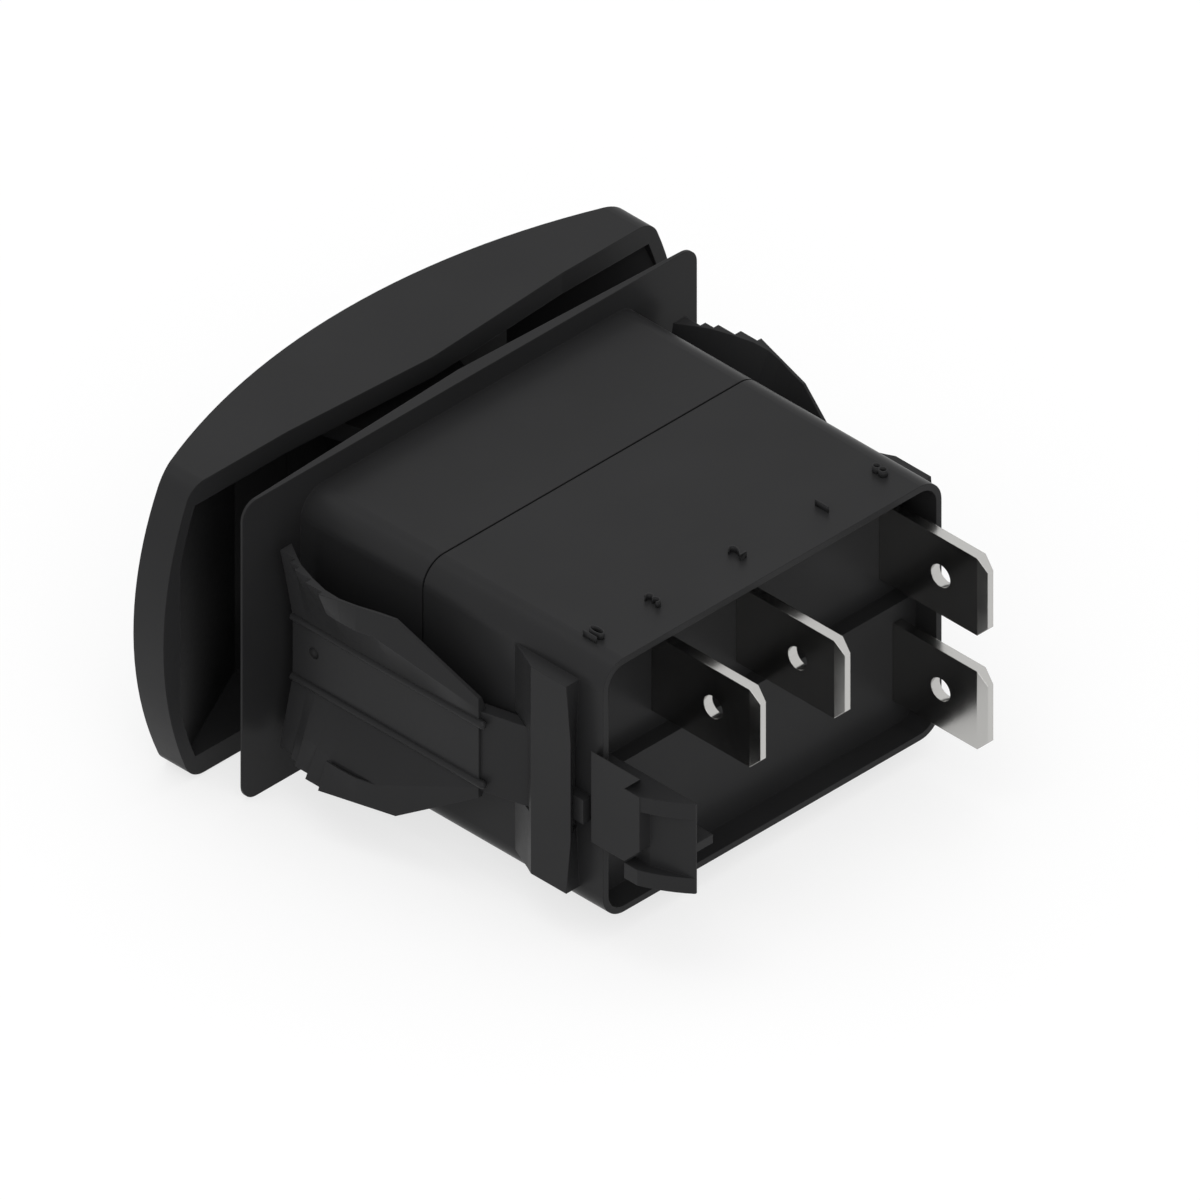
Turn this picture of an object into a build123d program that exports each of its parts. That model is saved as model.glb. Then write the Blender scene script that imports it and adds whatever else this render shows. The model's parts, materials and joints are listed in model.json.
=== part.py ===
from build123d import *
import os
from math import cos, radians, sin, tan

# Panel-mount rocker switch with two snap wings, a connector latch and four tab terminals.
# X runs along the long side of the switch, towards the end with the connector latch.
# Y runs back from the panel to the terminals, and Y = 0 is the flat back of the flange.
# Z runs across the switch. All sizes are in millimetres, and the rocker is modelled level.

os.makedirs("parts", exist_ok=True)

# Flange
flange_length = 43.1
flange_width = 24.3
flange_edge = 0.2
flange_crown = 1.1
flange_corner = 1.3

# Housing, a tube that is closed by the terminal floor
body_length = 32.1
body_width = 20.84
body_corner = 2.0
seam_depth = 11.5
seam_gap = 0.15
body_depth = 28.7
wall = 1.6
inner_corner = 0.6
rim_wall = 0.5
tongue_wall = 0.8
tongue_length = 1.8
seal_height = 0.6
joint_slack = 0.05
overlap = 0.2
cut_margin = 1.0
chamber_depth = 21.6
upper_floor_depth = 25.4
lower_floor_depth = 26.7
floor_step_height = -0.1

# Rocker cap, a domed shell
cap_length = 49.0
cap_width = 24.0
cap_straight = 43.7
cap_shift = 0.3
cap_dome_radius = 56.0
cap_crown_depth = -12.9
cap_rim_middle = -3.5
cap_rim_end = -4.25
cap_rim_flat = 13.0
cap_side_wall = 1.7
cap_end_wall = 1.0
cap_front_wall = 2.0
cap_corner = 1.8
cap_ramp_foot = 12.9
cap_ramp_depth = -9.4
cap_pocket_half = 8.0
lens_length = 4.2
lens_width = 2.6
cap_rim_step = 0.3
lens_inset = 0.1

# Rocker hub, which turns in the front housing
pivot_depth = 3.0
hub_half_length = 6.0
hub_half_width = 7.7
hub_plate_wall = 1.4
hub_cheek_wall = 1.6
hub_eye_radius = 2.6
hub_fit = 0.05
trunnion_radius = 1.2
trunnion_length = 1.9
bearing_clearance = 0.05
bearing_wall = 0.9
cheek_gap = 0.25
trunnion_end_gap = 0.1

# Plungers and their springs, one over the contact arm and one over the return cam
row_height = 4.665
plunger_radius = 1.6
plunger_tip_depth = 12.2
plunger_tail_depth = 1.0
bore_clearance = 0.08
bore_depth = -6.0
plunger_tube_wall = 1.0
plunger_tube_depth = 8.4
spring_wire = 0.45
spring_turns = 6
spring_side_gap = 0.2
plunger_gap = 0.25

# Contact arm, contacts and return cam
arm_thickness = 0.8
arm_width = 4.4
arm_half_length = 8.2
arm_swing = 6.0
lug_wall = 0.6
lug_reach = 1.6
contact_radius = 1.2
contact_height = 0.6
contact_reach = 6.6
contact_slack = 0.08
arm_corner = 0.8
shelf_lip = 0.2
stop_length = 2.4
cam_slope = 12.0
cam_half_length = 4.0
cam_width = 5.0

# Tab terminals
blade_width = 6.35
blade_thickness = 0.8
blade_tip_depth = 35.6
blade_bevel_length = 0.9
blade_bevel_depth = 0.155
blade_corner = 0.87
blade_neck = 2.0
blade_hole_radius = 0.9
blade_hole_depth = 31.26
terminal_3_x = 7.76
terminal_2_x = -0.25
lamp_terminal_x = -13.81

# Lamp, between the two lamp terminals
board_thickness = 0.8
board_front = 6.0
board_back = 17.0
board_width = 15.0
lamp_blade_start = 12.0
led_radius = 1.5
led_flange_radius = 1.65
led_flange = 0.8
led_length = 3.6
led_offset = 0.7
lead_side = 0.5
lead_length = 3.0
lead_pitch = 2.54
resistor_radius = 0.9
resistor_length = 4.4
resistor_depth = 12.5
guide_radius = 1.4
guide_front = -0.6
guide_gap = 0.1
shelf_front = 0.2
shelf_wall = 1.2
shelf_inner = 10.6

# End bars, which hold the wings' straps
bar_face = 17.3
bar_foot_depth = 19.9
bar_shoulder_x = 17.0
bar_shoulder_depth = 22.5
bar_mouth = 22.7
bar_front = 23.1
bar_back = 26.45
bar_half_width = 8.5
bar_flat_half_width = 4.0
bar_bulge = 0.42
bar_undercut = 0.38
strap_slack = 0.05

# Snap wings: the flares are measured outwards from the face of the band
wing_face = 18.0
wing_wall = 1.1
wing_front = 1.2
wing_end = 18.85
band_rise = -0.35
band_half_width = 2.45
band_inset = 0.4
bead_radius = 0.3
bead_end = 19.5
dimple_radius = 0.45
dimple_depth = 3.2
ear_half_width = 8.07
slot_front = 6.62
slot_back = 11.0
ramp_flare = 1.86
ramp_half_width = 5.98
ramp_wall = 0.14
leaf_half_width = 6.03
leaf_wall = 0.12
ear_corner_depth = 12.4
ear_corner_fold = 5.49
ear_end_fold = 3.2
ear_end_half_width = 4.05
strap_half_width = 3.25
strap_wall = 0.75
strap_bend_depth = 22.5
strap_step = 0.25
tail_end = 27.55
tail_overlap = 1.4
tail_top = -0.5
tail_bottom = -2.5

# Connector latch at the rear of the +X end
latch_proud = 0.55
latch_root = 1.65
latch_top = 3.73
latch_bottom = -3.74
latch_front = 28.1
latch_end = 32.7
latch_undercut = 31.25
nose_bend = 32.5
nose_bulge_x = 0.6
nose_bulge_depth = 1.3
nose_tip_depth = 35.95
nose_tip_wall = 0.15
nose_top = 2.2
nose_shelf = 1.25
nose_bottom = -5.13
nose_web_wall = 1.2
web_rib_top = -1.05
web_rib_wall = 0.7
web_rib_reach = 1.5

REARWARD = (0, 1, 0)


def across(depth):
    """The plane square to the depth axis at a depth behind the panel."""
    return Plane.XZ.offset(-depth)


half_length = body_length / 2
half_width = body_width / 2
inner_half_length = half_length - wall
inner_half_width = half_width - wall
bearing_face = hub_half_width + cheek_gap
arm_front = plunger_tip_depth + plunger_gap
arm_back = arm_front + arm_thickness
fulcrum_depth = arm_back + joint_slack + blade_thickness / 2
contact_x = terminal_2_x + contact_reach + joint_slack
contact_gap = (contact_reach + contact_radius) * sin(radians(arm_swing)) + contact_slack
fixed_face = arm_back + contact_height + contact_gap
shelf_depth = fixed_face + contact_height
guide_x = lamp_terminal_x + blade_thickness / 2 + led_offset
latch_face = half_length + latch_proud
latch_inner = half_length - latch_root
cap_near_end = cap_shift + cap_length / 2
cap_far_end = cap_shift - cap_length / 2
cap_near_shoulder = cap_shift + cap_straight / 2
cap_far_shoulder = cap_shift - cap_straight / 2
pocket_depth = cap_crown_depth + cap_front_wall
dome_centre = cap_crown_depth + cap_dome_radius

# Front housing: flange, front half of the tube and the two trunnion bearings
with BuildPart() as front_housing:
    with BuildSketch(Plane.XY.offset(-flange_width / 2)):
        with BuildLine():
            Line((-flange_length / 2, -flange_edge), (-flange_length / 2, 0))
            Line((-flange_length / 2, 0), (flange_length / 2, 0))
            Line((flange_length / 2, 0), (flange_length / 2, -flange_edge))
            Line((flange_length / 2, -flange_edge), (0, -flange_crown))
            Line((0, -flange_crown), (-flange_length / 2, -flange_edge))
        make_face()
    extrude(amount=flange_width)
    fillet(front_housing.edges().filter_by(Axis.Y), flange_corner)
    with BuildSketch(across(0)):
        RectangleRounded(body_length, body_width, body_corner)
    extrude(amount=seam_depth, dir=REARWARD)
    # Tongue that enters the rear base
    with BuildSketch(across(seam_depth)):
        RectangleRounded(
            body_length - 2 * (wall - tongue_wall),
            body_width - 2 * (wall - tongue_wall),
            body_corner - (wall - tongue_wall),
        )
    extrude(amount=tongue_length, dir=REARWARD)
    with BuildSketch(across(-2 * flange_crown)):
        RectangleRounded(2 * inner_half_length, 2 * inner_half_width, inner_corner)
    extrude(amount=2 * flange_crown + seam_depth + tongue_length, dir=REARWARD, mode=Mode.SUBTRACT)
    # Shelves that narrow the opening, one of which holds the light guide
    for side in (1, -1):
        with BuildSketch(across(shelf_front)):
            with Locations((side * (shelf_inner + inner_half_length) / 2, 0)):
                Rectangle(
                    inner_half_length - shelf_inner + overlap, 2 * inner_half_width + overlap
                )
        extrude(amount=shelf_wall, dir=REARWARD)
    with BuildSketch(across(shelf_front)):
        with Locations((guide_x, 0)):
            Circle(guide_radius)
    extrude(amount=shelf_wall, dir=REARWARD, mode=Mode.SUBTRACT)
    # Bearing bosses inside the two long walls
    for side in (1, -1):
        with BuildSketch(Plane.XY.offset(side * bearing_face)):
            with Locations((0, pivot_depth)):
                Circle(trunnion_radius + bearing_clearance + bearing_wall)
        extrude(amount=inner_half_width - bearing_face + overlap, dir=(0, 0, side))
        with BuildSketch(Plane.XY.offset(side * bearing_face)):
            with Locations((0, pivot_depth)):
                Circle(trunnion_radius + bearing_clearance)
        extrude(amount=trunnion_length, dir=(0, 0, side), mode=Mode.SUBTRACT)
front_housing.part.label = "front_housing"

# Rear base: tube, stepped terminal floor, end bars and connector latch
base_start = seam_depth + seam_gap
with BuildPart() as rear_base:
    with BuildSketch(across(base_start)):
        RectangleRounded(body_length, body_width, body_corner)
    extrude(amount=body_depth - base_start, dir=REARWARD)
    # Chamber for the contacts, in front of the floor
    with BuildSketch(across(base_start)):
        RectangleRounded(2 * inner_half_length, 2 * inner_half_width, inner_corner)
    extrude(amount=chamber_depth - base_start, dir=REARWARD, mode=Mode.SUBTRACT)
    # Rabbet for the front housing's tongue and the seal
    with BuildSketch(across(base_start)):
        RectangleRounded(
            body_length - 2 * (wall - tongue_wall - joint_slack),
            body_width - 2 * (wall - tongue_wall - joint_slack),
            body_corner - (wall - tongue_wall - joint_slack),
        )
    extrude(amount=tongue_length - seam_gap + seal_height, dir=REARWARD, mode=Mode.SUBTRACT)
    # Recess for the mating connector, deeper over the upper row
    with BuildSketch(across(lower_floor_depth)):
        RectangleRounded(
            body_length - 2 * rim_wall, body_width - 2 * rim_wall, body_corner - rim_wall
        )
    extrude(amount=body_depth - lower_floor_depth, dir=REARWARD, mode=Mode.SUBTRACT)
    with BuildSketch(across(upper_floor_depth)):
        RectangleRounded(
            body_length - 2 * rim_wall, body_width - 2 * rim_wall, body_corner - rim_wall
        )
        with Locations((0, floor_step_height - body_width / 2)):
            Rectangle(body_length, body_width, mode=Mode.SUBTRACT)
    extrude(amount=lower_floor_depth - upper_floor_depth, dir=REARWARD, mode=Mode.SUBTRACT)
    # Slots that grip the four blades
    for x, z in (
        (terminal_2_x, row_height),
        (terminal_3_x, row_height),
        (lamp_terminal_x, row_height),
        (lamp_terminal_x, -row_height),
    ):
        with BuildSketch(across(chamber_depth)):
            with Locations((x, z)):
                Rectangle(blade_thickness, blade_width)
        extrude(amount=lower_floor_depth - chamber_depth, dir=REARWARD, mode=Mode.SUBTRACT)
    # Bars across both ends; towards the middle the rear edge bulges and is undercut
    for side in (1, -1):
        for height, share in (
            (-bar_half_width, 0),
            (-bar_flat_half_width, 1),
            (bar_flat_half_width, 1),
            (bar_half_width, 0),
        ):
            with BuildSketch(Plane.XY.offset(height)):
                Polygon(
                    (side * (half_length - overlap), bar_foot_depth),
                    (side * bar_shoulder_x, bar_shoulder_depth),
                    (side * bar_face, bar_front),
                    (side * bar_face, bar_back + share * bar_bulge),
                    (side * (half_length - overlap), bar_back - share * bar_undercut),
                    align=None,
                )
        loft(ruled=True)
        # Channel for the wing's strap
        with BuildSketch(Plane.XY.offset(band_rise - strap_half_width - strap_slack)):
            Polygon(
                (side * half_length, bar_foot_depth),
                (side * (bar_face + cut_margin), bar_foot_depth),
                (side * (bar_face + cut_margin), bar_mouth),
                (side * (half_length + strap_wall + strap_slack), bar_mouth),
                (side * (half_length + strap_wall + strap_slack), bar_back + cut_margin),
                (side * half_length, bar_back + cut_margin),
                align=None,
            )
        extrude(amount=2 * (strap_half_width + strap_slack), mode=Mode.SUBTRACT)
    # Post that stops the idle end of the contact arm
    with BuildSketch(across(fixed_face)):
        with Locations((2 * terminal_2_x - contact_x, row_height)):
            Rectangle(stop_length, arm_width)
    extrude(amount=chamber_depth - fixed_face + overlap, dir=REARWARD)
    # Latch block on the rim, with a sloped ridge along its outer top edge
    for start, end, face in (
        (upper_floor_depth - overlap, latch_front, half_length - rim_wall / 4),
        (latch_front, latch_end, latch_face),
    ):
        with BuildSketch(across(start)):
            Polygon(
                (face, latch_bottom),
                (face, latch_top - (latch_face - face)),
                (latch_face - (latch_top - nose_top), nose_top),
                (latch_inner, nose_top),
                (latch_inner, latch_bottom),
                align=None,
            )
        extrude(amount=end - start, dir=REARWARD)
    # Undercuts at the rear of the ridge and of the block's lower edge
    undercut = latch_end - latch_undercut + overlap
    with BuildSketch(Plane.YZ.offset(latch_inner - overlap)):
        Polygon(
            (latch_undercut, nose_top),
            (latch_undercut + undercut, nose_top + undercut),
            (latch_undercut + undercut, nose_top),
            align=None,
        )
        Polygon(
            (latch_undercut, latch_bottom),
            (latch_undercut + undercut, latch_bottom + undercut),
            (latch_undercut + undercut, latch_bottom - overlap),
            (latch_undercut, latch_bottom - overlap),
            align=None,
        )
    extrude(amount=latch_face - latch_inner + 2 * overlap, mode=Mode.SUBTRACT)
    # Latch nose: two shelves that taper to the tip, and the web between them
    nose_tip_x = latch_inner + nose_tip_wall
    for bottom, top, web in (
        (nose_bottom, nose_bottom + nose_shelf, 0),
        (nose_bottom, nose_top, nose_web_wall),
        (nose_top - nose_shelf, nose_top, 0),
    ):
        with BuildSketch(Plane.XY.offset(bottom)):
            with BuildLine():
                Polyline(
                    (nose_tip_x, nose_tip_depth),
                    (latch_inner, nose_tip_depth),
                    (latch_inner, latch_undercut),
                )
                if web:
                    Polyline(
                        (latch_inner, latch_undercut),
                        (latch_inner + web, latch_undercut),
                        (latch_inner + web, latch_end),
                        (nose_tip_x, nose_tip_depth),
                    )
                else:
                    Polyline(
                        (latch_inner, latch_undercut),
                        (latch_face, latch_undercut),
                        (latch_face, nose_bend),
                    )
                    ThreePointArc(
                        (latch_face, nose_bend),
                        (latch_face - nose_bulge_x, nose_bend + nose_bulge_depth),
                        (nose_tip_x, nose_tip_depth),
                    )
            make_face()
        extrude(amount=top - bottom)
    # Rib on the inner side of the web
    with BuildSketch(Plane.XY.offset(web_rib_top - web_rib_wall)):
        Polygon(
            (latch_inner - web_rib_reach, latch_undercut),
            (latch_inner + nose_tip_wall / 2, latch_undercut),
            (latch_inner + nose_tip_wall / 2, nose_tip_depth),
            (latch_inner - web_rib_reach, nose_tip_depth),
            align=None,
        )
    extrude(amount=web_rib_wall)
rear_base.part.label = "rear_base"

# Snap wings: a flat band, two flared ears with gripping teeth and a strap under the end bar.
# An ear folds once along its length; a tooth steps its edge outwards.
ear_steps = (
    # depth, flare of the edge behind the step, flare of the fold, flare of the edge's inner side
    (wing_front, 1.2, 0.75, 0.1),
    (2.68, 1.66, 0.94, 1.0),
    (3.48, 2.1, 1.24, 1.42),
    (5.05, 2.66, 1.56, 1.94),
    (slot_front, 3.02, ramp_flare, 2.32),
)
# From the last tooth back, a leaf with the ear's edge stands free of the ramp, over a slot
leaf_sections = (
    # depth, flare of the leaf's free edge, flare of the ear's edge, flare of its inner side
    (slot_front, 2.24, ear_steps[-1][1], 2.32),
    (8.0, 2.3, 2.64, 2.36),
    (9.4, 2.24, 2.26, 2.08),
    (slot_back, ramp_flare, 1.82, 1.58),
)
# Behind the slot the ear narrows to the strap
tail_sections = (
    # depth, flare of the fold, of the edge and of its inner side, half widths of fold and edge
    (slot_back, ramp_flare, 1.82, 1.58, ramp_half_width, ear_half_width),
    (ear_corner_depth, 1.53, 1.44, 1.24, ear_corner_fold, ear_half_width),
    (wing_end, 0.02, 0.02, -0.3, ear_end_fold, ear_end_half_width),
)


def ear_outline(side, up, fold, edge, inner, fold_half_width, edge_half_width):
    """The outline of one ear, from under the band's edge out to its own edge."""
    band_edge = band_rise + up * band_half_width
    return (
        (side * (wing_face - wing_wall), band_edge - up * band_inset),
        (side * wing_face, band_edge - up * band_inset),
        (side * wing_face, band_edge),
        (side * (wing_face + fold), up * fold_half_width),
        (side * (wing_face + edge), up * edge_half_width),
        (side * (wing_face + inner), up * edge_half_width),
    )


for side, end in ((1, "latch_end"), (-1, "plain_end")):
    wing_back = side * (wing_face - wing_wall)
    with BuildPart() as wing:
        with BuildSketch(Plane.XY.offset(band_rise - band_half_width)):
            Polygon(
                (wing_back, wing_front),
                (side * wing_face, wing_front),
                (side * wing_face, wing_end),
                (wing_back, wing_end),
                align=None,
            )
        extrude(amount=2 * band_half_width)
        for up in (1, -1):
            for front, back in zip(ear_steps, ear_steps[1:]):
                for depth, fold, inner in ((front[0], *front[2:]), (back[0], *back[2:])):
                    with BuildSketch(across(depth)):
                        Polygon(
                            *ear_outline(
                                side, up, fold, front[1], inner, ramp_half_width, ear_half_width
                            ),
                            align=None,
                        )
                loft(ruled=True)
            for depth, _, _, inner in leaf_sections:
                with BuildSketch(across(depth)):
                    Polygon(
                        *ear_outline(
                            side, up, ramp_flare, inner + ramp_wall, inner,
                            ramp_half_width, ear_half_width,
                        ),
                        align=None,
                    )
            loft(ruled=True)
            for depth, free, edge, inner in leaf_sections:
                with BuildSketch(across(depth)):
                    Polygon(
                        (side * (wing_face + free), up * leaf_half_width),
                        (side * (wing_face + edge), up * ear_half_width),
                        (side * (wing_face + inner), up * ear_half_width),
                        (side * (wing_face + free - leaf_wall), up * leaf_half_width),
                        align=None,
                    )
            loft(ruled=True)
            for depth, fold, edge, inner, fold_half_width, edge_half_width in tail_sections:
                with BuildSketch(across(depth)):
                    Polygon(
                        *ear_outline(
                            side, up, fold, edge, inner, fold_half_width, edge_half_width
                        ),
                        align=None,
                    )
            loft(ruled=True)
            # Round bead along the edge of the band
            band_edge = band_rise + up * band_half_width
            with BuildSketch(across(wing_front)):
                with Locations((side * wing_face, band_edge)):
                    Circle(bead_radius)
            extrude(amount=bead_end - bead_radius - wing_front, dir=REARWARD)
            with Locations((side * wing_face, bead_end - bead_radius, band_edge)):
                Sphere(bead_radius)
        with Locations((side * wing_face, dimple_depth, 0)):
            Sphere(dimple_radius, mode=Mode.SUBTRACT)
        # Strap that runs back under the bar, and its tail behind the bar
        strap_face = half_length + strap_wall
        with BuildSketch(Plane.XY.offset(band_rise - strap_half_width)):
            Polygon(
                (wing_back, wing_end - wing_wall / 2),
                (side * (wing_face - strap_step), wing_end - wing_wall / 2),
                (side * (wing_face - strap_step), wing_end),
                (side * strap_face, strap_bend_depth),
                (side * strap_face, bar_back - bar_undercut),
                (side * half_length, bar_back - bar_undercut),
                (side * half_length, strap_bend_depth - strap_wall),
                align=None,
            )
        extrude(amount=2 * strap_half_width)
        with BuildSketch(Plane.XY.offset(tail_bottom)):
            Polygon(
                (side * half_length, bar_back - tail_overlap),
                (side * strap_face, bar_back - tail_overlap),
                (side * strap_face, tail_end),
                (side * half_length, tail_end),
                align=None,
            )
        extrude(amount=tail_top - tail_bottom)
    wing.part.label = f"{end}_wing"
    export_step(wing.part, f"parts/{end}_wing.step")

# Rocker cap: barrel-ended outline, domed front, shallow V rim, hollow behind
with BuildSketch(Plane.XZ) as cap_outline:
    with BuildLine():
        Line((cap_far_shoulder, cap_width / 2), (cap_near_shoulder, cap_width / 2))
        ThreePointArc(
            (cap_near_shoulder, cap_width / 2),
            (cap_near_end, 0),
            (cap_near_shoulder, -cap_width / 2),
        )
        Line((cap_near_shoulder, -cap_width / 2), (cap_far_shoulder, -cap_width / 2))
        ThreePointArc(
            (cap_far_shoulder, -cap_width / 2),
            (cap_far_end, 0),
            (cap_far_shoulder, cap_width / 2),
        )
    make_face()
    fillet(cap_outline.vertices(), cap_corner)

# Hollow of the cap: a ramp towards each barrel end, and a pocket for the hub's plate
with BuildPart() as cap_hollow:
    with BuildSketch(Plane.XY.offset(-cap_width / 2)):
        Polygon(
            (cap_far_end + cap_end_wall, 0),
            (cap_far_end + cap_end_wall, cap_rim_end + cap_rim_step),
            (-cap_ramp_foot, cap_ramp_depth),
            (-cap_pocket_half, cap_ramp_depth),
            (-cap_pocket_half, pocket_depth),
            (cap_pocket_half, pocket_depth),
            (cap_pocket_half, cap_ramp_depth),
            (cap_ramp_foot, cap_ramp_depth),
            (cap_near_end - cap_end_wall, cap_rim_end + cap_rim_step),
            (cap_near_end - cap_end_wall, 0),
            align=None,
        )
    extrude(amount=cap_width)
    with BuildSketch(across(cap_crown_depth)):
        offset(cap_outline.sketch_local, amount=-cap_end_wall)
        Rectangle(cap_length, cap_width - 2 * cap_side_wall, mode=Mode.INTERSECT)
    extrude(amount=-cap_crown_depth, dir=REARWARD, mode=Mode.INTERSECT)

with BuildPart() as rocker_cap:
    with BuildSketch(across(cap_crown_depth - cut_margin)):
        add(cap_outline.sketch_local)
    extrude(amount=cap_rim_middle - cap_crown_depth + 2 * cut_margin, dir=REARWARD)
    with Locations((0, dome_centre, 0)):
        Sphere(cap_dome_radius, mode=Mode.INTERSECT)
    with BuildSketch(Plane.XY.offset(-cap_width)):
        Polygon(
            (-cap_length, cap_rim_end),
            (-cap_rim_flat, cap_rim_end),
            (0, cap_rim_middle),
            (cap_rim_flat, cap_rim_end),
            (cap_length, cap_rim_end),
            (cap_length, cap_crown_depth - cut_margin),
            (-cap_length, cap_crown_depth - cut_margin),
            align=None,
        )
    extrude(amount=2 * cap_width, mode=Mode.INTERSECT)
    add(cap_hollow.part, mode=Mode.SUBTRACT)
    # Window for the lens
    with BuildSketch(across(cap_crown_depth)):
        with Locations((guide_x, 0)):
            Rectangle(lens_width, lens_length)
    extrude(amount=cap_rim_end - cap_crown_depth, dir=REARWARD, mode=Mode.SUBTRACT)
rocker_cap.part.label = "rocker_cap"

# Lens that fills the window, its face just under the dome
with BuildPart() as cap_lens:
    with BuildSketch(across(cap_ramp_depth)):
        with Locations((guide_x, 0)):
            Rectangle(lens_width, lens_length)
    extrude(amount=cap_ramp_depth - cap_crown_depth, dir=(0, -1, 0))
    with Locations((0, dome_centre, 0)):
        Sphere(cap_dome_radius - lens_inset, mode=Mode.INTERSECT)
cap_lens.part.label = "cap_lens"

# Hub: plate, two cheeks with trunnions and two plunger tubes
with BuildPart() as rocker_hub:
    with BuildSketch(across(pocket_depth)):
        Rectangle(2 * (cap_pocket_half - hub_fit), cap_width - 2 * (cap_side_wall + hub_fit))
    extrude(amount=hub_plate_wall, dir=REARWARD)
    for side in (1, -1):
        with BuildSketch(Plane.XY.offset(side * hub_half_width)):
            with Locations((0, pivot_depth)):
                Circle(hub_eye_radius)
            with Locations((0, pocket_depth + hub_plate_wall)):
                Rectangle(2 * hub_half_length, hub_plate_wall)
            make_hull()
        extrude(amount=hub_cheek_wall, dir=(0, 0, -side))
        with BuildSketch(Plane.XY.offset(side * hub_half_width)):
            with Locations((0, pivot_depth)):
                Circle(trunnion_radius)
        extrude(amount=cheek_gap + trunnion_length - trunnion_end_gap, dir=(0, 0, side))
        with BuildSketch(across(pocket_depth + hub_plate_wall / 2)):
            with Locations((0, side * row_height)):
                Circle(plunger_radius + bore_clearance + plunger_tube_wall)
        extrude(amount=plunger_tube_depth - pocket_depth - hub_plate_wall / 2, dir=REARWARD)
    with BuildSketch(across(pocket_depth + hub_plate_wall / 2)):
        Rectangle(hub_cheek_wall, 2 * row_height)
    extrude(amount=pivot_depth - pocket_depth - hub_plate_wall / 2, dir=REARWARD)
    with BuildSketch(across(bore_depth)):
        with Locations((0, row_height), (0, -row_height)):
            Circle(plunger_radius + bore_clearance)
    extrude(amount=plunger_tube_depth - bore_depth, dir=REARWARD, mode=Mode.SUBTRACT)
rocker_hub.part.label = "rocker_hub"

for piece, name in (
    (front_housing, "front_housing"),
    (rear_base, "rear_base"),
    (rocker_cap, "rocker_cap"),
    (cap_lens, "cap_lens"),
    (rocker_hub, "rocker_hub"),
):
    export_step(piece.part, f"parts/{name}.step")

# Plungers with round tips, and the coil springs behind them
spring_radius = plunger_radius - spring_side_gap - spring_wire / 2
spring_length = plunger_tail_depth - bore_depth
for side, role in ((1, "contact"), (-1, "return")):
    with BuildPart() as plunger:
        with BuildSketch(across(plunger_tail_depth)):
            with Locations((0, side * row_height)):
                Circle(plunger_radius)
        extrude(amount=plunger_tip_depth - plunger_radius - plunger_tail_depth, dir=REARWARD)
        with Locations((0, plunger_tip_depth - plunger_radius, side * row_height)):
            Sphere(plunger_radius)
    plunger.part.label = f"{role}_plunger"
    export_step(plunger.part, f"parts/{role}_plunger.step")

    with BuildPart() as spring:
        with BuildLine() as coil_line:
            Helix(
                pitch=(spring_length - spring_wire) / spring_turns,
                height=spring_length - spring_wire,
                radius=spring_radius,
                center=(0, bore_depth + spring_wire / 2, side * row_height),
                direction=(0, 1, 0),
            )
        with BuildSketch(Plane(coil_line.line @ 0, z_dir=coil_line.line % 0)):
            RegularPolygon(spring_wire / 2, 6)
        sweep(path=coil_line.line, is_frenet=True)
    spring.part.label = f"{role}_spring"
    export_step(spring.part, f"parts/{role}_spring.step")


def make_blade(x, z, start):
    """A tab blade with a pierced, chamfered and bevelled tip, from its inner end at a depth."""
    with BuildPart() as tab:
        with BuildSketch(Plane.YZ.offset(x - blade_thickness / 2)):
            Polygon(
                (start, z - blade_width / 2),
                (start, z + blade_width / 2),
                (blade_tip_depth - blade_corner, z + blade_width / 2),
                (blade_tip_depth, z + blade_width / 2 - blade_corner),
                (blade_tip_depth, z - blade_width / 2 + blade_corner),
                (blade_tip_depth - blade_corner, z - blade_width / 2),
                align=None,
            )
            with Locations((blade_hole_depth, z)):
                Circle(blade_hole_radius, mode=Mode.SUBTRACT)
        extrude(amount=blade_thickness)
        for face in (1, -1):
            with BuildSketch(Plane.XY.offset(z - blade_width / 2)):
                Polygon(
                    (x + face * blade_thickness / 2, blade_tip_depth - blade_bevel_length),
                    (x + face * blade_thickness / 2, blade_tip_depth),
                    (x + face * (blade_thickness / 2 - blade_bevel_depth), blade_tip_depth),
                    align=None,
                )
            extrude(amount=blade_width, mode=Mode.SUBTRACT)
    return tab.part


blade_2_start = chamber_depth - blade_neck
blade_2 = make_blade(terminal_2_x, row_height, blade_2_start)
blade_3 = make_blade(terminal_3_x, row_height, shelf_depth)
blade_7 = make_blade(lamp_terminal_x, -row_height, lamp_blade_start)
blade_8 = make_blade(lamp_terminal_x, row_height, lamp_blade_start)

# Common terminal: its rounded inner end is the arm's fulcrum
with BuildPart() as terminal_2:
    add(blade_2)
    with BuildSketch(Plane.XY.offset(row_height - arm_width / 2 + lug_wall + joint_slack)):
        with Locations((terminal_2_x, (fulcrum_depth + blade_2_start + overlap) / 2)):
            Rectangle(blade_thickness, blade_2_start + overlap - fulcrum_depth)
        with Locations((terminal_2_x, fulcrum_depth)):
            Circle(blade_thickness / 2)
    extrude(amount=arm_width - 2 * (lug_wall + joint_slack))
terminal_2.part.label = "terminal_2"

# Switched terminal: its inner end is bent over into a shelf for the fixed contact
with BuildPart() as terminal_3:
    add(blade_3)
    shelf_end = contact_x - contact_radius - shelf_lip
    with BuildSketch(across(shelf_depth)):
        with Locations(((shelf_end + terminal_3_x + blade_thickness / 2) / 2, row_height)):
            Rectangle(terminal_3_x + blade_thickness / 2 - shelf_end, blade_width)
    extrude(amount=blade_thickness, dir=REARWARD)
terminal_3.part.label = "terminal_3"

with BuildPart() as terminal_7:
    add(blade_7)
terminal_7.part.label = "terminal_7"

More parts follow.
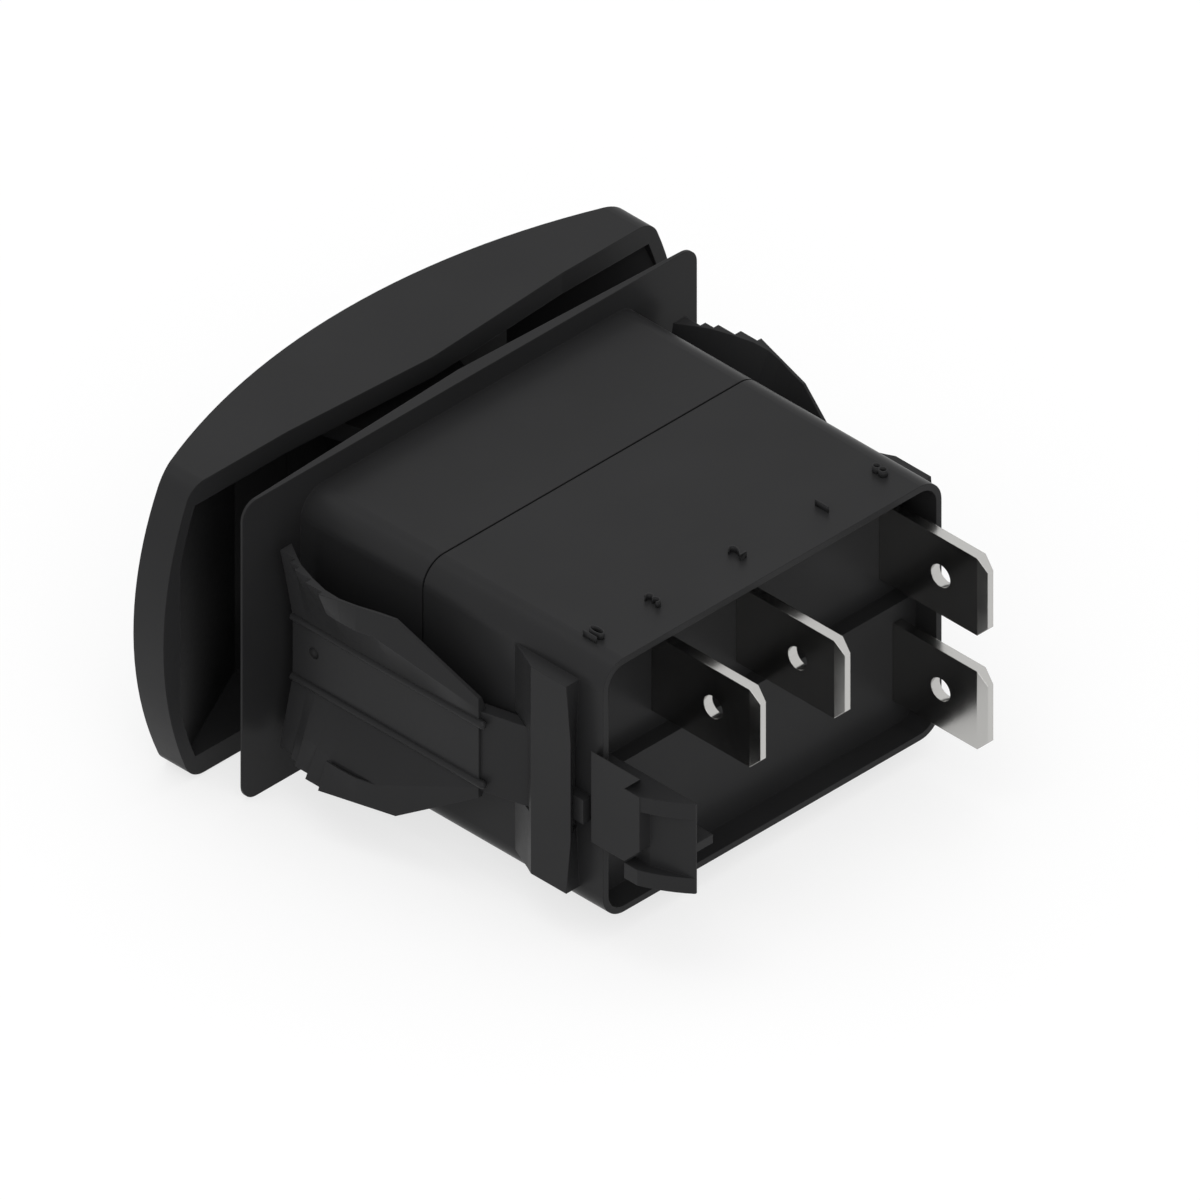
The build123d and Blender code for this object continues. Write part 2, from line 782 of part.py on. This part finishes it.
with BuildPart() as terminal_8:
    add(blade_8)
terminal_8.part.label = "terminal_8"

with BuildPart() as fixed_contact:
    with BuildSketch(across(fixed_face)):
        with Locations((contact_x, row_height)):
            Circle(contact_radius)
    extrude(amount=contact_height, dir=REARWARD)
fixed_contact.part.label = "fixed_contact"

# Contact arm: a flat strip with two lugs that straddle the fulcrum
with BuildPart() as contact_arm:
    with BuildSketch(across(arm_front)):
        with Locations((terminal_2_x, row_height)):
            RectangleRounded(2 * arm_half_length, arm_width, arm_corner)
    extrude(amount=arm_thickness, dir=REARWARD)
    for side in (1, -1):
        with BuildSketch(across(arm_back)):
            with Locations((terminal_2_x, row_height + side * (arm_width - lug_wall) / 2)):
                Rectangle(3 * blade_thickness, lug_wall)
        extrude(amount=lug_reach, dir=REARWARD)
contact_arm.part.label = "contact_arm"

with BuildPart() as moving_contact:
    with BuildSketch(across(arm_back)):
        with Locations((contact_x, row_height)):
            Circle(contact_radius)
    extrude(amount=contact_height, dir=REARWARD)
moving_contact.part.label = "moving_contact"

# Return cam: a block with a shallow V that the second plunger sits in
cam_rise = (plunger_radius + plunger_gap) / cos(radians(cam_slope)) - plunger_radius
cam_valley = plunger_tip_depth + cam_rise
cam_shoulder = cam_valley - cam_half_length * tan(radians(cam_slope))
with BuildPart() as return_cam:
    with BuildSketch(Plane.XY.offset(-row_height - cam_width / 2)):
        Polygon(
            (-cam_half_length, cam_shoulder),
            (0, cam_valley),
            (cam_half_length, cam_shoulder),
            (cam_half_length, chamber_depth),
            (-cam_half_length, chamber_depth),
            align=None,
        )
    extrude(amount=cam_width)
return_cam.part.label = "return_cam"

# Rubber ring between the end of the tongue and the bottom of the rabbet
with BuildPart() as seam_seal:
    with BuildSketch(across(seam_depth + tongue_length)):
        RectangleRounded(
            body_length - 2 * (wall - tongue_wall),
            body_width - 2 * (wall - tongue_wall),
            body_corner - (wall - tongue_wall),
        )
        RectangleRounded(
            2 * inner_half_length, 2 * inner_half_width, inner_corner, mode=Mode.SUBTRACT
        )
    extrude(amount=seal_height, dir=REARWARD)
seam_seal.part.label = "seam_seal"

# Lamp board against the faces of the two lamp blades, with the diode and its resistor
board_face = lamp_terminal_x + blade_thickness / 2
with BuildPart() as lamp_board:
    with BuildSketch(Plane.YZ.offset(board_face)):
        with Locations(((board_front + board_back) / 2, 0)):
            Rectangle(board_back - board_front, board_width)
    extrude(amount=board_thickness)
lamp_board.part.label = "lamp_board"

with BuildPart() as lamp_led:
    with BuildSketch(across(board_front)):
        with Locations((guide_x, 0)):
            Circle(led_flange_radius)
    extrude(amount=led_flange, dir=(0, -1, 0))
    with BuildSketch(across(board_front)):
        with Locations((guide_x, 0)):
            Circle(led_radius)
    extrude(amount=led_length - led_radius, dir=(0, -1, 0))
    with Locations((guide_x, board_front - led_length + led_radius, 0)):
        Sphere(led_radius)
    with BuildSketch(across(board_front)):
        with Locations(
            (board_face + board_thickness + lead_side / 2, lead_pitch / 2),
            (board_face + board_thickness + lead_side / 2, -lead_pitch / 2),
        ):
            Rectangle(lead_side, lead_side)
    extrude(amount=lead_length, dir=REARWARD)
lamp_led.part.label = "lamp_led"

with BuildPart() as lamp_resistor:
    with BuildSketch(Plane.XY.offset(-resistor_length / 2)):
        with Locations((board_face + board_thickness + resistor_radius, resistor_depth)):
            Circle(resistor_radius)
    extrude(amount=resistor_length)
lamp_resistor.part.label = "lamp_resistor"

with BuildPart() as light_guide:
    with BuildSketch(across(guide_front)):
        with Locations((guide_x, 0)):
            Circle(guide_radius)
    extrude(amount=board_front - led_length - guide_gap - guide_front, dir=REARWARD)
light_guide.part.label = "light_guide"

for piece in (
    terminal_2, terminal_3, terminal_7, terminal_8, fixed_contact, contact_arm, moving_contact,
    return_cam, seam_seal, lamp_board, lamp_led, lamp_resistor, light_guide,
):
    export_step(piece.part, f"parts/{piece.part.label}.step")
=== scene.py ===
import json

import bmesh
import bpy
from mathutils import Matrix, Vector


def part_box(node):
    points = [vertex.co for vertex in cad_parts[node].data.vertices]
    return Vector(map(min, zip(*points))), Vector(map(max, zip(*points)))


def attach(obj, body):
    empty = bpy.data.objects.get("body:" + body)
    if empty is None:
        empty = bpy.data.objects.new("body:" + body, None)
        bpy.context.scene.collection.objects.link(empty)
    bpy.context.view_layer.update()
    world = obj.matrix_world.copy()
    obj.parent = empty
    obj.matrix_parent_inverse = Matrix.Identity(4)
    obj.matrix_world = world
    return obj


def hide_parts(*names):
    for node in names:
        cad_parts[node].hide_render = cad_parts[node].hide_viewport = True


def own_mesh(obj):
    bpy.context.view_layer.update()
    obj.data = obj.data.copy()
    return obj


# A panel-mount rocker switch seen from behind and above, on a pale floor.
# Everything is in metres in the CAD frame: X along the switch, Y back from the panel, Z across it.

MM = 0.001

# Camera: a true isometric view on the corner of +X, +Y and +Z
VIEW_CENTRE = Vector((-4.101, 8.253, -4.153)) * MM
VIEW_WIDTH = 80.48 * MM
VIEW_DISTANCE = 0.4
VIEW_REACH = 5
TOWARDS_CAMERA = Vector((1, 1, 1)).normalized()

# Raised terminal numbers on the case, each with the X and Y of its middle in mm
NUMBER_PLACES = {
    "10": (13.87, 25.68),
    "3": (8.2, 25.7),
    "2": (0.33, 25.73),
    "1": (-7.53, 25.95),
    "8": (-13.2, 25.78),
}
NUMBER_HEIGHT = 1.34 * MM
NUMBER_RISE = 0.5 * MM
NUMBER_SINK = 0.1 * MM
NUMBER_SQUEEZE = 0.84

# Lettering: a figure's height as a share of the font's size, the step between figures, and
# how much each side of a stroke is thinned
FIGURE_SHARE = 0.72
FIGURE_SPACING = 0.8
FIGURE_THINNING = 0.04 * MM
FIGURE_STEPS = 6

# Springs behind the plungers, each with the joint that its plunger slides on
SPRING_JOINTS = {
    "contact_spring": "contact_plunger_slide",
    "return_spring": "return_plunger_slide",
}

# Points closer than this are one point
MERGE_DISTANCE = 0.001 * MM

# Surfaces: the radius that an edge shows, and the scales of the patterns per metre
EDGE_RADIUS = 0.07 * MM
EDGE_SAMPLES = 6
BLACK_GLOSS = 0.07
SHADE_SCALE = 110
SHADE_DARK = 0.85
SHADE_LIGHT = 1.15
SKIN_SCALE = 2600
SKIN_DEPTH = 0.02 * MM
METAL_SCALE = 700
MOULDING_SCALE = 800
CLEAR_SCALE = 500

# Studio: the floor's half width, the share of the floor and of the surround that is seen as
# plain white, the even light, and each lamp's place, width and power in watts
FLOOR_HALF_WIDTH = 1.5
FLOOR_WHITE = 0.72
SURROUND_WHITE = 1.0
SURROUND_LIGHT = 0.75
LAMPS = {
    "top_lamp": ((0.05, -0.05, 0.6), 0.5, 1.3),
    "front_lamp": ((0.45, 0.45, 0.4), 0.6, 1.5),
}


def placed(name, data):
    """A new object in the scene, at the origin."""
    thing = bpy.data.objects.new(name, data)
    bpy.context.scene.collection.objects.link(thing)
    return thing


# Finishes


def new_finish(name, colour, roughness, **sockets):
    """A Principled material, with its plain values set on the shader's own sockets."""
    finish = bpy.data.materials.new(name)
    finish.use_nodes = True
    shader = finish.node_tree.nodes["Principled BSDF"]
    shader.inputs["Base Color"].default_value = (*colour, 1)
    shader.inputs["Roughness"].default_value = roughness
    for socket, value in sockets.items():
        shader.inputs[socket.replace("_", " ")].default_value = value
    return finish, finish.node_tree, shader


def soften_edges(tree, shader, height=None):
    """The moulded or stamped edge catches the light as a small radius does."""
    edge = tree.nodes.new("ShaderNodeBevel")
    edge.samples = EDGE_SAMPLES
    edge.inputs["Radius"].default_value = EDGE_RADIUS
    if height is not None:
        tree.links.new(height.outputs["Normal"], edge.inputs["Normal"])
    tree.links.new(edge.outputs["Normal"], shader.inputs["Normal"])


def unevenness(tree, scale, detail):
    """Noise that is fixed to the piece."""
    place = tree.nodes.new("ShaderNodeTexCoord")
    noise = tree.nodes.new("ShaderNodeTexNoise")
    noise.inputs["Scale"].default_value = scale
    noise.inputs["Detail"].default_value = detail
    tree.links.new(place.outputs["Object"], noise.inputs["Vector"])
    return noise


def grain(tree, shader, scale, low, high, detail=4):
    """A fine uneven sheen, with a roughness between two values."""
    noise = unevenness(tree, scale, detail)
    spread = tree.nodes.new("ShaderNodeMapRange")
    spread.inputs["To Min"].default_value = low
    spread.inputs["To Max"].default_value = high
    tree.links.new(noise.outputs["Fac"], spread.inputs["Value"])
    tree.links.new(spread.outputs["Result"], shader.inputs["Roughness"])
    return noise


def cloud(tree, shader, colour):
    """Slow changes of shade over the surface, as the melt leaves them."""
    noise = unevenness(tree, SHADE_SCALE, 2)
    shade = tree.nodes.new("ShaderNodeMix")
    shade.data_type = "RGBA"
    shade.inputs["A"].default_value = (*(SHADE_DARK * share for share in colour), 1)
    shade.inputs["B"].default_value = (*(SHADE_LIGHT * share for share in colour), 1)
    tree.links.new(noise.outputs["Fac"], shade.inputs["Factor"])
    tree.links.new(shade.outputs["Result"], shader.inputs["Base Color"])


def moulded_black(name, shade, roughness_low, roughness_high, texture):
    """Black moulded plastic: a fine spark-eroded skin and a slightly uneven satin sheen."""
    colour = (shade, shade, 1.03 * shade)
    finish, tree, shader = new_finish(name, colour, roughness_low, Specular_IOR_Level=BLACK_GLOSS)
    cloud(tree, shader, colour)
    noise = grain(tree, shader, SKIN_SCALE, roughness_low, roughness_high, detail=5)
    height = tree.nodes.new("ShaderNodeBump")
    height.inputs["Strength"].default_value = texture
    height.inputs["Distance"].default_value = SKIN_DEPTH
    tree.links.new(noise.outputs["Fac"], height.inputs["Height"])
    soften_edges(tree, shader, height)
    return finish


def plated_metal(name, colour, roughness_low, roughness_high):
    """Bright metal strip with faint rolling marks."""
    finish, tree, shader = new_finish(name, colour, roughness_low, Metallic=1.0)
    grain(tree, shader, METAL_SCALE, roughness_low, roughness_high)
    soften_edges(tree, shader)
    return finish


def plain_moulding(name, colour, roughness):
    """A plain opaque moulding or coating."""
    finish, tree, shader = new_finish(name, colour, roughness)
    grain(tree, shader, MOULDING_SCALE, roughness, roughness + 0.08)
    return finish


def clear_moulding(name, colour, roughness):
    """Clear moulded plastic."""
    finish, tree, shader = new_finish(name, colour, roughness, IOR=1.5, Transmission_Weight=0.9)
    grain(tree, shader, CLEAR_SCALE, roughness, roughness + 0.05)
    return finish


def make_finishes():
    """One finish for each material slot of the switch."""
    return {
        "case_plastic": moulded_black("case_black", 0.019, 0.3, 0.38, 0.05),
        "cap_plastic": moulded_black("cap_black", 0.02, 0.34, 0.44, 0.09),
        "wing_plastic": moulded_black("wing_black", 0.019, 0.3, 0.38, 0.05),
        "hub_plastic": moulded_black("hub_black", 0.022, 0.4, 0.5, 0.05),
        "plunger_plastic": plain_moulding("natural_acetal", (0.62, 0.6, 0.54), 0.35),
        "lens": clear_moulding("clear_lens", (0.9, 0.9, 0.88), 0.12),
        "tinned_brass": plated_metal("tin_plate", (0.5, 0.495, 0.48), 0.16, 0.24),
        "copper": plated_metal("copper_strip", (0.72, 0.4, 0.26), 0.22, 0.32),
        "silver": plated_metal("silver_alloy", (0.86, 0.85, 0.82), 0.2, 0.28),
        "spring_steel": plated_metal("spring_wire", (0.56, 0.56, 0.57), 0.25, 0.32),
        "rubber": plain_moulding("silicone_ring", (0.02, 0.02, 0.02), 0.6),
        "circuit_board": plain_moulding("board_green", (0.02, 0.14, 0.05), 0.3),
        "diode": clear_moulding("diode_epoxy", (0.95, 0.85, 0.5), 0.08),
        "resistor": plain_moulding("resistor_lacquer", (0.42, 0.3, 0.16), 0.35),
    }


# Raised numbers


def raised_number(figures, x, y, top, finish):
    """One terminal number, raised on the case: read from the rear, its head towards the panel."""
    outline = bpy.data.curves.new(f"outline_{figures}", "FONT")
    outline.body = figures
    outline.size = (NUMBER_HEIGHT + 2 * FIGURE_THINNING) / FIGURE_SHARE
    outline.offset = -FIGURE_THINNING
    outline.extrude = (NUMBER_RISE + NUMBER_SINK) / 2
    outline.align_x = "CENTER"
    outline.align_y = "CENTER"
    outline.space_character = FIGURE_SPACING
    outline.resolution_u = FIGURE_STEPS
    lettering = placed(f"outline_{figures}", outline)
    solid = bpy.data.meshes.new_from_object(lettering)
    bpy.data.objects.remove(lettering)
    turn = Matrix(((-NUMBER_SQUEEZE, 0, 0), (0, -1, 0), (0, 0, 1))).to_4x4()
    middle = top + (NUMBER_RISE - NUMBER_SINK) / 2
    solid.transform(Matrix.Translation((x, y, middle)) @ turn)
    shape = bmesh.new()
    shape.from_mesh(solid)
    bmesh.ops.remove_doubles(shape, verts=shape.verts, dist=MERGE_DISTANCE)
    bmesh.ops.recalc_face_normals(shape, faces=shape.faces)
    shape.to_mesh(solid)
    shape.free()
    number = placed(f"number_{figures}", solid)
    solid.materials.append(finish)
    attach(number, "case")


# Springs


def shortening_spring(node, finish):
    """A plunger's coil spring: a smooth-shaded copy of the CAD piece, carried by the rocker in the
    piece's place.
    """
    shape = bmesh.new()
    shape.from_mesh(frame["nodes"][node].data)
    bmesh.ops.remove_doubles(shape, verts=shape.verts, dist=MERGE_DISTANCE)
    for face in shape.faces:
        face.smooth = True
    coil = bpy.data.meshes.new(f"{node}_coil")
    shape.to_mesh(coil)
    shape.free()
    spring = placed(f"{node}_coil", coil)
    coil.materials.append(finish)
    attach(spring, "rocker")
    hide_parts(node)
    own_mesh(spring)


# Studio


def seen_white(tree, shader, share):
    """To the camera, in reflections and through clear pieces, a share shows as plain white."""
    paths = tree.nodes.new("ShaderNodeLightPath")
    seen = tree.nodes.new("ShaderNodeMath")
    seen.operation = "MAXIMUM"
    clear = tree.nodes.new("ShaderNodeMath")
    clear.operation = "MAXIMUM"
    amount = tree.nodes.new("ShaderNodeMath")
    amount.operation = "MULTIPLY"
    amount.inputs[1].default_value = share
    white = tree.nodes.new("ShaderNodeEmission")
    white.inputs["Color"].default_value = (1, 1, 1, 1)
    white.inputs["Strength"].default_value = 1
    mix = tree.nodes.new("ShaderNodeMixShader")
    link = tree.links.new
    link(paths.outputs["Is Camera Ray"], seen.inputs[0])
    link(paths.outputs["Is Glossy Ray"], seen.inputs[1])
    link(seen.outputs[0], clear.inputs[0])
    link(paths.outputs["Is Transmission Ray"], clear.inputs[1])
    link(clear.outputs[0], amount.inputs[0])
    link(amount.outputs[0], mix.inputs[0])
    link(shader.outputs[0], mix.inputs[1])
    link(white.outputs[0], mix.inputs[2])
    return mix


def lay_floor(height):
    """A wide pale floor under the switch."""
    shape = bmesh.new()
    bmesh.ops.create_grid(shape, x_segments=1, y_segments=1, size=FLOOR_HALF_WIDTH)
    bmesh.ops.translate(shape, verts=shape.verts, vec=(0, 0, height))
    sheet = bpy.data.meshes.new("floor")
    shape.to_mesh(sheet)
    shape.free()
    floor = placed("floor", sheet)
    paint, tree, shader = new_finish("floor_white", (0.92, 0.92, 0.92), 0.9)
    mix = seen_white(tree, shader, FLOOR_WHITE)
    tree.links.new(mix.outputs[0], tree.nodes["Material Output"].inputs["Surface"])
    sheet.materials.append(paint)


def light_surround():
    """Even studio light from all round, and plain white where it is seen."""
    world = bpy.data.worlds.new("studio")
    bpy.context.scene.world = world
    world.use_nodes = True
    tree = world.node_tree
    surround = tree.nodes["Background"]
    surround.inputs["Color"].default_value = (1, 1, 1, 1)
    surround.inputs["Strength"].default_value = SURROUND_LIGHT
    mix = seen_white(tree, surround, SURROUND_WHITE)
    tree.links.new(mix.outputs[0], tree.nodes["World Output"].inputs["Surface"])


def hang_lamp(name, place, width, power):
    """A soft square lamp that points at the switch."""
    lamp = bpy.data.lights.new(name, "AREA")
    lamp.size = width
    lamp.energy = power
    holder = placed(name, lamp)
    holder.location = place
    holder.rotation_euler = Vector(place).to_track_quat("Z", "Y").to_euler()


def set_camera():
    """The orthographic camera, level with the edges of the picture."""
    sight = bpy.data.cameras.new("camera")
    sight.type = "ORTHO"
    sight.ortho_scale = VIEW_WIDTH
    sight.clip_end = VIEW_REACH
    camera = placed("camera", sight)
    camera.location = VIEW_CENTRE + TOWARDS_CAMERA * VIEW_DISTANCE
    camera.rotation_euler = TOWARDS_CAMERA.to_track_quat("Z", "Y").to_euler()
    bpy.context.scene.camera = camera


# The switch in its studio

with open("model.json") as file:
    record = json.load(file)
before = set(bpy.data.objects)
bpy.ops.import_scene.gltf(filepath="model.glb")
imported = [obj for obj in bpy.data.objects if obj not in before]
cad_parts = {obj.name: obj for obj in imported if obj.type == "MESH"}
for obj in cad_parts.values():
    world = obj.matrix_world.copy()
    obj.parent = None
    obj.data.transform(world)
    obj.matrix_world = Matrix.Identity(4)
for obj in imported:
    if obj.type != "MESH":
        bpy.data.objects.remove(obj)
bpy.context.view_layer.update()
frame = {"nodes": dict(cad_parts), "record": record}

finishes = make_finishes()
slots = {part["node"]: part["material_slot"] for part in frame["record"]["subparts"]}
for node, piece in frame["nodes"].items():
    piece.data.materials.clear()
    piece.data.materials.append(finishes[slots[node]])

case_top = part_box("rear_base")[1][2]
for figures, (x, y) in NUMBER_PLACES.items():
    raised_number(figures, x * MM, y * MM, case_top, finishes["case_plastic"])

for node, joint in SPRING_JOINTS.items():
    shortening_spring(node, finishes["spring_steel"])

bpy.context.scene.view_settings.view_transform = "Standard"
lay_floor(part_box("front_housing")[0][2])
light_surround()
for name, (place, width, power) in LAMPS.items():
    hang_lamp(name, place, width, power)
set_camera()
